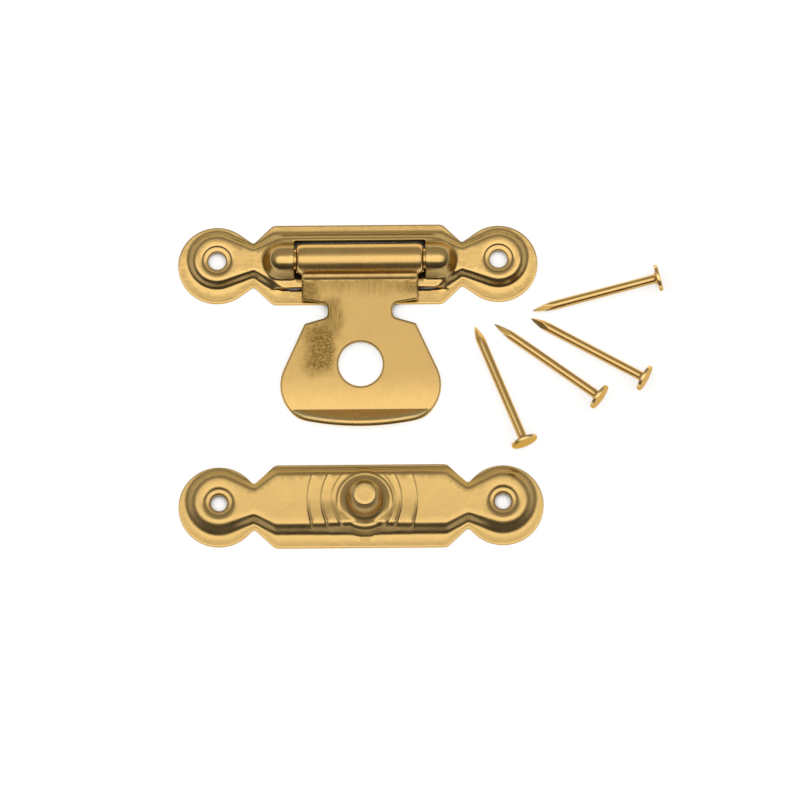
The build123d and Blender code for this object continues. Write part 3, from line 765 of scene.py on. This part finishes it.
def makeStudPlate(size):
    crest, foot, blank = sheetLoops(size)
    studX, studY = size["stud"]
    crestMiddle = size["crest"][3]
    lathe = ringLoop(studX, studY, size["latheR"], 96)
    guides = cutGuides(blank, (0.025, 0.08, 0.2, 0.4, 0.6)) + flankRows(crest, foot, size)
    for r in (2.7, 2.76, 2.82, 2.9, 2.98, 3.04, 3.12, 3.2, 3.28, 3.35, 3.42, 3.5):
        guides.append((ringLoop(studX, studY, r, 96), True, 0.03))
    lineHalf, fromMound, fromRim = 3.0, 3.56, 0.9  # half a line's width, and where its guides stop
    for side, shift, radius, _, _ in size["drawLines"]:
        reach = math.asin(lineHalf / radius)
        middle = 0.0 if side > 0 else math.pi
        for e in (-0.3, -0.2, -0.13, -0.07, 0.0, 0.07, 0.13, 0.2, 0.3):
            line = arcLine(studX + shift, studY, radius + e, middle - reach, middle + reach, 0.2)
            line = [p for p in line if math.hypot(p[0] - studX, p[1] - studY) > fromMound]
            split = [k for k in range(1, len(line)) if abs(line[k][1] - line[k - 1][1]) > 0.4]
            for first, last in zip([0] + split, split + [len(line)]):
                if last - first > 1:
                    guides.append((line[first:last], False, fromRim))
    flat, triangles, rings = fillRegion(blank, [lathe] + seatRings(size), guides, seedStep=0.42)

    x, y = flat.T
    insideFoot, insideCrest = insideBy(flat, foot), insideBy(flat, crest)
    sheetTop = pressedHeight(insideFoot, insideCrest, insideBy(flat, blank), y, size)
    fromStud = np.hypot(x - studX, y - studY)
    level = np.clip((sheetTop - size["sheet"]) / (size["rise"] - size["sheet"]), 0, 1)
    sheetTop = sheetTop + level * size["hollow"] * ((y - crestMiddle) / size["crest"][2]) ** 2
    # the lines deepen towards the front edge, where they notch the flank
    towardsFront = 1.0 + size["lineDeepening"] * ease((crestMiddle - y) / size["deepeningRun"])
    for side, shift, radius, step, bead in size["drawLines"]:
        outward = np.hypot(x - studX - shift, y - studY) - radius
        beside = ease(side * (x - studX) / size["lineStart"])
        lift = step * ease(0.5 - outward / size["stepW"]) + bead * np.exp(-(outward / size["beadHalf"]) ** 2)
        sheetTop = sheetTop + level * beside * towardsFront * lift
    top = softMax(sheetTop, moundHeight(fromStud), size["moundFillet"])
    bottom = np.maximum(top - size["sheet"], 0.0)
    cut = insideBy(flat, blank)
    verts, faces = closePlate(flat, triangles, top, bottom, cut, rings[1:], size)
    # the stud itself, outside and inside, is turned from the ring where the mound begins
    turnStrip(verts, faces, rings[1], size["stud"], size["studSide"])
    turnStrip(verts, faces, [i + len(flat) for i in rings[1]], size["stud"], size["studBore"], flip=True)
    placeX, placeY = size["place"]
    return meshFrom("studPlate", [(a + placeX, b + placeY, c) for a, b, c in verts], faces, cut)


studMesh = makeStudPlate(studPlate)
studMesh.materials.append(satinBrass)
placePiece("drawnStudPlate", studMesh, "plates", "stud_plate")
print("stud plate made")


# leaf: a flat blank rolled along a bent line by Geometry Nodes
leaf = {
    "sheet": 0.5,
    "rollR": 1.5,            # middle of the sheet round the pin
    "seamAt": -166.0,        # degrees round the pin where the roll ends
    "necking": 0.35,         # bend where the sheet leaves the roll
    "stepW": 2.3, "stepBend": 0.3, "stepAngle": 52.0, "ledgeAngle": 13.0,  # a small step and ledge before it
    "lipBend": 0.35, "lipAngle": 42.0, "lipAt": 16.95,
    "curlW": 0.62, "curlDrop": 0.27, "curlFade": 0.9,  # the lip's edge curls outwards again
    "droop": 5.7056,
    "endW": 19.15,
    "rollHalf": 7.1, "rollEndW": 0.95, "rollEndDrop": 0.3, "rollFade": 0.6, "rootHalf": 6.5,
    "shoulderW": 4.5, "notchTopW": 5.0, "notchBottomW": 6.45, "neckHalf": 3.6, "notchRound": 0.65,
    "cornerW": 7.2, "cornerHalf": 6.2, "widestW": 14.1, "widestHalf": 8.95, "cornerR": 4.4,
    "holeW": 11.76, "holeR": 2.46,
    "edgeRound": 0.3, "underShare": 0.5,
}


def bentLine(point, heading, steps):
    # a line laid down step by step: ("run", length) or ("turn", radius, angle to the left)
    line = [Vector(point)]
    for step in steps:
        if step[0] == "run":
            count = max(1, int(step[1] / 0.5))
            for _ in range(count):
                line.append(line[-1] + step[1] / count * Vector((math.cos(heading), math.sin(heading))))
            continue
        radius, angle = step[1], step[2] * deg
        side = math.copysign(1.0, angle)
        centre = line[-1] + side * radius * Vector((-math.sin(heading), math.cos(heading)))
        count = max(4, int(abs(angle) / (1.5 * deg)))
        for k in range(1, count + 1):
            a = heading + angle * k / count
            line.append(centre - side * radius * Vector((-math.sin(a), math.cos(a))))
        heading += angle
    return line


def leafPath(size):
    # the middle of the sheet seen from the end of the pin, from the lip's edge to the roll's seam
    lip, ledge = size["lipAngle"], size["ledgeAngle"]
    trim = size["lipBend"] * math.tan(lip * deg / 2)
    lipRun = size["endW"] - size["lipAt"]
    first = (-(size["lipAt"] + lipRun * math.cos(lip * deg)), lipRun * math.sin(lip * deg))
    steps = [("run", lipRun - trim), ("turn", size["lipBend"], lip),
             ("run", size["lipAt"] - trim - size["stepW"])]
    stepAt = steps[0][1] + size["lipBend"] * lip * deg + steps[2][1]
    steps += [("turn", size["stepBend"], size["stepAngle"]),
              ("turn", size["stepBend"], ledge - size["stepAngle"])]
    # the ledge runs on until the necking touches both it and the roll
    along = Vector((math.cos(ledge * deg), math.sin(ledge * deg)))
    centre = bentLine(first, -lip * deg, steps)[-1] + size["necking"] * Vector((-along.y, along.x))
    reach = size["rollR"] + size["necking"]
    short = centre.dot(along)
    ledgeRun = -short - math.sqrt(short**2 - centre.length_squared + reach**2)
    centre += ledgeRun * along
    leavesAt = math.degrees(math.atan2(centre.y, centre.x))
    rollTurn = leavesAt - size["seamAt"]
    steps += [("run", ledgeRun), ("turn", size["necking"], leavesAt - 90 - ledge),
              ("turn", size["rollR"], -rollTurn)]
    line = bentLine(first, -lip * deg, steps)
    total = sum((b - a).length for a, b in zip(line, line[1:]))
    return line, total, stepAt, total - size["rollR"] * rollTurn * deg


def leafBlank(size):
    # outline of the flat blank: X across, Y along from the lip's edge towards the pin
    endW, cornerX = size["endW"], size["widestHalf"] - size["cornerR"]
    beyond = endW - size["widestW"]
    endR = (cornerX**2 + beyond**2 - size["cornerR"] ** 2) / (2 * (beyond - size["cornerR"]))
    across, along = size["cornerHalf"] - cornerX, size["cornerW"] - size["widestW"]
    sideTurn = math.atan2(along, across) + math.acos(size["cornerR"] / math.hypot(across, along))
    endTurn = math.atan2(size["widestW"] - endW + endR, cornerX)
    _, total, stepAt, rollAt = leafPath(size)
    half = arcLine(0.0, endW - endR, endR, math.pi / 2, endTurn)
    half += arcLine(cornerX, size["widestW"], size["cornerR"], endTurn, sideTurn)[1:]
    half = [(x, endW - w, 0.0) for x, w in half]
    half += [(size["cornerHalf"], endW - size["cornerW"], 0.15),
             (size["neckHalf"], endW - size["notchBottomW"], size["notchRound"]),
             (size["neckHalf"], endW - size["notchTopW"], size["notchRound"]),
             (size["rootHalf"], endW - size["shoulderW"], 0.2),
             (size["rootHalf"], rollAt - 0.45, 0.2), (size["rollHalf"], rollAt + 0.15, 0.25),
             (size["rollHalf"], total, 0.0)]
    mirrored = [(-x, y, r) for x, y, r in half[:0:-1]]
    return spacedLoop(roundCorners(half + mirrored, 0.1)), total, stepAt, rollAt


def makeLeafBlank(size):
    outline, total, stepAt, rollAt = leafBlank(size)
    hole = ringLoop(0.0, size["endW"] - size["holeW"], size["holeR"], 96)
    rimRows = (0.02, 0.06, 0.12, 0.19, 0.27, 0.34, 0.43, 0.52, 0.62)
    guides = cutGuides(outline, rimRows) + cutGuides(hole, [-e for e in rimRows[:6]])
    lipY = size["endW"] - size["lipAt"]
    rowsAt = [lipY + k * 0.045 for k in range(-5, 6)]                    # across the lip's bend
    rowsAt += list(np.arange(stepAt - 0.1, rollAt + 0.1, 0.055))         # across the step and necking
    rowsAt += list(np.arange(rollAt + 0.2, total - 0.05, 0.13))          # round the roll
    ends = [size["rollHalf"] - e for e in (0.14, 0.22, 0.32, 0.44, 0.58, 0.74, 0.92, 1.1)]
    rollColumns = [-x for x in ends] + list(np.arange(-5.8, 5.81, 0.29)) + ends[::-1]
    wide = list(np.arange(-8.7, 8.71, 0.29))
    for y in rowsAt:
        guides.append(([(x, y) for x in (wide if y < stepAt - 1 else rollColumns)], False, 0.12))
    flat, triangles, rings = fillRegion(outline, [hole], guides, seedStep=0.5)
    x, y = flat.T
    cut = np.minimum(insideBy(flat, outline), -insideBy(flat, hole))
    top, bottom = roundedSkins(size["sheet"] / 2, -size["sheet"] / 2, cut, size)
    curl = ease((lipY - y) / size["curlFade"]) * np.clip(1.0 - cut / size["curlW"], 0, 1) ** 2
    curl *= size["curlDrop"]
    top -= curl
    bottom -= curl
    # the ends of the roll are closed in, so its outer skin curves down to them
    onRoll = ease((y - rollAt + size["rollFade"] / 2) / size["rollFade"])
    fromEnd = np.clip((size["rollHalf"] - np.abs(x)) / size["rollEndW"], 0.0, 1.0)
    top -= onRoll * size["rollEndDrop"] * (1.0 - np.sqrt(1.0 - (1.0 - fromEnd) ** 2))
    verts, faces = sheetShell(flat, triangles, top, bottom, [])
    mesh = meshFrom("leafBlank", verts, faces, cut)
    # where each point lies on the flat blank, for the brushing that follows the sheet
    flatPlace = mesh.attributes.new("blankPlace", "FLOAT_VECTOR", "POINT")
    spots = np.empty(len(mesh.vertices) * 3, dtype=np.float32)
    mesh.vertices.foreach_get("co", spots)
    flatPlace.data.foreach_set("vector", spots)
    return mesh


def startTree(name, sockets):
    # a Geometry Nodes tree with named inputs and one shape coming out, and the sockets the inputs come from
    tree = bpy.data.node_groups.new(name, "GeometryNodeTree")
    for label, kind in sockets.items():
        tree.interface.new_socket(label, in_out="INPUT", socket_type="NodeSocket" + kind)
    tree.interface.new_socket("Geometry", in_out="OUTPUT", socket_type="NodeSocketGeometry")
    return tree, addNode(tree, "NodeGroupInput").outputs


def endTree(tree, shape, metal):
    # instances made real and given their metal
    real = addNode(tree, "GeometryNodeRealizeInstances", {"Geometry": shape})
    painted = addNode(tree, "GeometryNodeSetMaterial", {"Geometry": real, "Material": metal})
    addNode(tree, "NodeGroupOutput", {"Geometry": painted})
    return tree


def runTree(name, mesh, tree, values):
    # the tree's result on a mesh, as a plain mesh; values go in by the socket's identifier
    holder = addObject(name + "Maker", mesh)
    modifier = holder.modifiers.new("shape", "NODES")
    modifier.node_group = tree
    for item in tree.interface.items_tree:
        if item.in_out == "INPUT" and item.name in values:
            modifier[item.identifier] = values[item.name]
    holder.update_tag()
    view = bpy.context.evaluated_depsgraph_get()
    made = bpy.data.meshes.new_from_object(holder.evaluated_get(view), depsgraph=view)
    holder.modifiers.remove(modifier)
    bpy.data.objects.remove(holder)
    return made


def rollTree():
    tree, given = startTree("rollLeafAlongPath", {
        "Geometry": "Geometry", "Path": "Object", "Droop": "Float", "Pin Place": "Vector",
        "Metal": "Material"})
    add = partial(addNode, tree)
    path = add("GeometryNodeObjectInfo", {"Object": given["Path"]})
    split = add("ShaderNodeSeparateXYZ", {0: add("GeometryNodeInputPosition")}).outputs
    # Y is how far along the bent line a point goes, Z is how far it stands off the line
    sample = add("GeometryNodeSampleCurve", {
        "Curves": path.outputs["Geometry"], "Length": split["Y"]}, mode="LENGTH").outputs
    standing = add("ShaderNodeVectorMath", {0: (1.0, 0.0, 0.0), 1: sample["Tangent"]},
                   operation="CROSS_PRODUCT")
    offset = add("ShaderNodeVectorMath", {0: standing, "Scale": split["Z"]}, operation="SCALE")
    lifted = add("ShaderNodeVectorMath", {0: sample["Position"], 1: offset}, operation="ADD")
    across = add("ShaderNodeCombineXYZ", {"X": split["X"]})
    place = add("ShaderNodeVectorMath", {0: lifted, 1: across}, operation="ADD")
    rolled = add("GeometryNodeSetPosition", {"Geometry": given["Geometry"], "Position": place})
    tilt = add("ShaderNodeCombineXYZ", {"X": given["Droop"]})
    hung = add("GeometryNodeTransform", {
        "Geometry": rolled, "Translation": given["Pin Place"], "Rotation": tilt})
    return endTree(tree, hung, given["Metal"])


pathCurve = bpy.data.curves.new("leafPath", "CURVE")
pathCurve.dimensions = "3D"
pathSpline = pathCurve.splines.new("POLY")
pathLine = leafPath(leaf)[0]
pathSpline.points.add(len(pathLine) - 1)
for spot, p in zip(pathSpline.points, pathLine):
    spot.co = (0.0, p.x * mm, p.y * mm, 1.0)
pathObject = addObject("leafPath", pathCurve)
leafMesh = runTree("leaf", makeLeafBlank(leaf), rollTree(), {
    "Path": pathObject, "Droop": leaf["droop"] * deg, "Metal": brushedBrass,
    "Pin Place": tuple(hingeLine[axis] * mm for axis in "xyz")})
bpy.data.objects.remove(pathObject)
placePiece("rolledHaspLeaf", leafMesh, "hasp", "hasp_leaf")
print("leaf made")


# nails: one turned outline laid down four times by Geometry Nodes
nail = {
    "length": 14.7, "shankR": 0.5, "headR": 1.5, "headThickness": 0.45, "sides": 48,
    "pointLength": 2.5, "pointTip": 0.02, "pointFullness": 0.75, "collarR": 0.75, "collarLength": 0.3,
    "offTable": 0.005,  # keeps the lowest corner of the point out of the table
}
nailPlaces = {  # middle of the length, the way the head points, and the roll about the shank
    "nail_1": (26.59, -4.16, 13.6, 20.0),
    "nail_2": (25.63, -10.40, -29.9, 35.0),
    "nail_3": (21.05, -11.77, -36.9, 10.0),
    "nail_4": (15.72, -14.44, -68.3, 45.0),
}


def nailOutline(size):
    # a line up the middle of the nail whose points carry the radius there
    top = size["length"]
    under = top - size["headThickness"]
    shank, head, collar = size["shankR"], size["headR"], size["collarR"]
    rows = [(z, shank) for z in np.linspace(0.0, size["pointLength"], 22)]
    rows += [(z, shank) for z in np.linspace(size["pointLength"], under - 0.9, 8)[1:]]
    rows += [(under - size["collarLength"] - 0.15, shank), (under - size["collarLength"], shank + 0.01),
             (under - 0.18, shank + 0.05), (under - 0.08, shank + 0.12), (under - 0.02, collar - 0.02),
             (under, collar + 0.08), (under + 0.01, head - 0.12), (under + 0.04, head - 0.03),
             (under + 0.1, head), (top - 0.14, head), (top - 0.07, head - 0.03), (top - 0.02, head - 0.1),
             (top, head - 0.22), (top, 0.7), (top, 0.1)]
    mesh = bpy.data.meshes.new("nailOutline")
    mesh.from_pydata([(0, 0, z * mm) for z, _ in rows], [(k, k + 1) for k in range(len(rows) - 1)], [])
    radius = mesh.attributes.new("turnedRadius", "FLOAT", "POINT")
    radius.data.foreach_set("value", [r * mm for _, r in rows])
    return mesh


def nailTree():
    tree, given = startTree("turnedNail", {
        "Geometry": "Geometry", "Shank Radius": "Float", "Point Length": "Float", "Point Tip": "Float",
        "Point Fullness": "Float", "Sides": "Int", "Roll": "Float", "Lean": "Float", "Heading": "Float",
        "Tip Place": "Vector", "Metal": "Material"})
    add = partial(addNode, tree)
    radius = add("GeometryNodeInputNamedAttribute", {"Name": "turnedRadius"}, data_type="FLOAT")
    line = add("GeometryNodeMeshToCurve", {"Mesh": given["Geometry"]})
    circle = add("GeometryNodeCurvePrimitiveCircle", {"Resolution": given["Sides"], "Radius": 1.0})
    turned = add("GeometryNodeCurveToMesh", {
        "Curve": line, "Profile Curve": circle, "Scale": radius.outputs["Attribute"], "Fill Caps": True})
    # below the point's length every ring is pressed in to a square that narrows to the tip
    where = add("GeometryNodeInputPosition")
    split = add("ShaderNodeSeparateXYZ", {0: where}).outputs
    share = add("ShaderNodeMath", {0: split["Z"], 1: given["Point Length"]}, operation="DIVIDE")
    full = add("ShaderNodeMath", {0: share, 1: given["Point Fullness"]}, operation="POWER")
    square = add("ShaderNodeMath", {0: full, 1: given["Shank Radius"], 2: given["Point Tip"]},
                 operation="MULTIPLY_ADD")
    sideX, sideY = (add("ShaderNodeMath", {0: split[axis]}, operation="ABSOLUTE") for axis in "XY")
    widest = add("ShaderNodeMath", {0: sideX, 1: sideY}, operation="MAXIMUM")
    shrink = add("ShaderNodeMath", {0: square, 1: widest}, operation="DIVIDE")
    pressed = add("ShaderNodeMath", {0: shrink, 1: 1.0}, operation="MINIMUM")
    squeeze = add("ShaderNodeCombineXYZ", {"X": pressed, "Y": pressed, "Z": 1.0})
    place = add("ShaderNodeVectorMath", {0: where, 1: squeeze}, operation="MULTIPLY")
    onPoint = add("ShaderNodeMath", {0: split["Z"], 1: given["Point Length"]}, operation="LESS_THAN")
    pointed = add("GeometryNodeSetPosition", {"Geometry": turned, "Selection": onPoint, "Position": place})
    spin = add("ShaderNodeCombineXYZ", {"Z": given["Roll"]})
    rolled = add("GeometryNodeTransform", {"Geometry": pointed, "Rotation": spin})
    turn = add("ShaderNodeCombineXYZ", {"Y": given["Lean"], "Z": given["Heading"]})
    laid = add("GeometryNodeTransform", {
        "Geometry": rolled, "Translation": given["Tip Place"], "Rotation": turn})
    return endTree(tree, laid, given["Metal"])


nailShape = nailTree()
# how far up the nail the point's corners reach the shank, and the slope at which the head's rim and
# the shank both touch the table
shoulder = nail["pointLength"] * 0.5 ** (0.5 / nail["pointFullness"])
restsApart = nail["length"] - nail["headThickness"] - shoulder
nailSlope = math.atan2(nail["headR"] - nail["shankR"], restsApart)
tipZ = nail["shankR"] * math.cos(nailSlope) - shoulder * math.sin(nailSlope) + nail["offTable"]
for node, (middleX, middleY, heading, roll) in nailPlaces.items():
    run = nail["length"] / 2 * math.cos(nailSlope)
    tip = (middleX - run * math.cos(heading * deg), middleY - run * math.sin(heading * deg), tipZ)
    nailMesh = runTree(node, nailOutline(nail), nailShape, {
        "Shank Radius": nail["shankR"] * mm, "Point Length": nail["pointLength"] * mm,
        "Point Tip": nail["pointTip"] * mm, "Point Fullness": nail["pointFullness"],
        "Sides": nail["sides"], "Roll": roll * deg, "Lean": 90 * deg - nailSlope, "Heading": heading * deg,
        "Tip Place": tuple(c * mm for c in tip), "Metal": drawnWire})
    placePiece("turned" + node.title().replace("_", ""), nailMesh, "plates", node, sharpAngle=30.0)
print("nails made")

# the pin keeps its CAD shape, in bright drawn wire like the nails' but without the bend attribute, so it has
# no wear and no painted highlight or shade along it
pinWire = brassFinish("drawn brass pin wire", wireLook | {
    "colour": "F2CA80", "shade": "E6BA6C", "ridge": "F2CA80", "crease": "E6BA6C", "wallShare": 0.0,
    "cutEdge": "F2CA80", "roughness": 0.2, "roughnessSpread": 0.03, "creaseRoughness": 0.0,
    "hazeSize": 1.5, "waveDepth": 0.0, "grainSize": 0.2, "lineTone": 0.0})
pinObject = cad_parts["hinge_pin"]
for spot in pinObject.material_slots:
    spot.material = pinWire
if not pinObject.material_slots:
    pinObject.data.materials.append(pinWire)

# floor, light and camera
studio = {
    "floorSize": 6.0,
    "floorColour": "D8D8D8",
    "floorGlow": 0.66,          # what the camera and the metal see on top of the light that falls on it
    # painted shade: the floor under the parts and in narrow gaps is given this dark brown
    "gapShadeColour": "4A3A1C",      # the floor seen through a narrow gap is lit by brass only
    "gapReach": 12.0,           # mm, how far the parts shelter the floor
    "gapOpen": (0.18, 0.36),    # open share of the sky where the glow begins and where it is full
    "softboxSize": (2.6, 1.24), "softboxPlace": (0.0, -0.29, 1.2), "softboxPower": 7.2,
    "front": 0.09, "back": 0.3, "above": 0.5,  # the sky's strength on each side
    "toBack": (-0.8, 0.15), "toAbove": (0.75, 0.95),  # where front turns to back, and the sides to above
}
floorMesh = bpy.data.meshes.new("paleFloor")
half = studio["floorSize"] / 2
floorMesh.from_pydata([(x, y, 0) for x, y in ((-half, -half), (half, -half), (half, half), (-half, half))],
                      [], [(0, 1, 2, 3)])
floorObject = addObject("paleFloor", floorMesh)
floorPaint = bpy.data.materials.new("matt white floor")  # pure white paper under the parts
floorPaint.use_nodes = True
floorTree = floorPaint.node_tree
floorTree.nodes.remove(floorTree.nodes["Principled BSDF"])
add = partial(addNode, floorTree)
rays = add("ShaderNodeLightPath").outputs
seen = add("ShaderNodeMath", {0: rays["Is Camera Ray"], 1: rays["Is Glossy Ray"]}, operation="MAXIMUM")
seen = add("ShaderNodeMath", {0: seen, 1: rays["Is Transmission Ray"]}, operation="MAXIMUM")
# the glow dies away in narrow gaps and right under the parts, so the floor keeps their shadow
shelter = add("ShaderNodeAmbientOcclusion", {"Distance": studio["gapReach"] * mm}, samples=16)
openFloor = add("ShaderNodeMapRange", {
    "Value": shelter.outputs["AO"], "From Min": studio["gapOpen"][0], "From Max": studio["gapOpen"][1]},
    interpolation_type="SMOOTHSTEP")
glowing = add("ShaderNodeMath", {0: seen, 1: openFloor}, operation="MULTIPLY")
glowing = add("ShaderNodeMath", {0: glowing, 1: studio["floorGlow"]}, operation="MULTIPLY")
# painted shade: the paper's colour turns to the dark gap colour where the parts shelter it
paperAndGapShade = add("ShaderNodeMix", {
    0: openFloor, 6: linear(studio["gapShadeColour"]), 7: linear(studio["floorColour"])}, data_type="RGBA")
glow = add("ShaderNodeEmission", {"Color": (1, 1, 1, 1), "Strength": glowing})
paper = add("ShaderNodeBsdfDiffuse", {"Color": paperAndGapShade})
feedNode(floorTree.nodes["Material Output"], {
    "Surface": add("ShaderNodeAddShader", {0: glow, 1: paper})})
floorMesh.materials.append(floorPaint)

# the sky is brighter behind the parts and brightest above them
world = bpy.data.worlds.new("studio")
bpy.context.scene.world = world
world.use_nodes = True
add = partial(addNode, world.node_tree)
direction = add("ShaderNodeSeparateXYZ", {0: add("ShaderNodeTexCoord").outputs["Generated"]}).outputs
toBack = add("ShaderNodeMapRange", {
    "Value": direction["Y"], "From Min": studio["toBack"][0], "From Max": studio["toBack"][1],
    "To Min": studio["front"], "To Max": studio["back"]}, interpolation_type="SMOOTHSTEP")
toTop = add("ShaderNodeMapRange", {
    "Value": direction["Z"], "From Min": studio["toAbove"][0], "From Max": studio["toAbove"][1]},
    interpolation_type="SMOOTHSTEP")
sky = add("ShaderNodeMix", {0: toTop, 2: toBack, 3: studio["above"]}, data_type="FLOAT")
feedNode(world.node_tree.nodes["Background"], {"Color": (1, 1, 1, 1), "Strength": sky})

softbox = bpy.data.lights.new("overheadSoftbox", "AREA")
softbox.shape = "RECTANGLE"
softbox.size, softbox.size_y = studio["softboxSize"]
softbox.energy = studio["softboxPower"]
addObject("overheadSoftbox", softbox).location = studio["softboxPlace"]

photoView = {
    "target": (4.588, -15.871, 0.0),   # mm, what lies in the middle of the picture
    "elevation": 77.0, "roll": 0.463, "distance": 0.8, "width": 89.0,  # width in mm across the picture
    "sensor": 36.0,
}
cameraData = bpy.data.cameras.new("photoCamera")
cameraData.sensor_width = photoView["sensor"]
cameraData.lens = photoView["sensor"] * photoView["distance"] / (photoView["width"] * mm)
cameraData.clip_start = 0.01
cameraData.clip_end = 20.0
cameraObject = addObject("photoCamera", cameraData)
up = photoView["elevation"] * deg
away = Vector((0.0, -math.cos(up), math.sin(up)))
cameraObject.matrix_world = (
    Matrix.Translation(Vector(photoView["target"]) * mm + away * photoView["distance"])
    @ away.to_track_quat("Z", "Y").to_matrix().to_4x4()
    @ Matrix.Rotation(-photoView["roll"] * deg, 4, "Z"))
bpy.context.scene.camera = cameraObject
bpy.context.scene.view_settings.view_transform = "Standard"
print("floor, light and camera made")

bpy.context.view_layer.update()
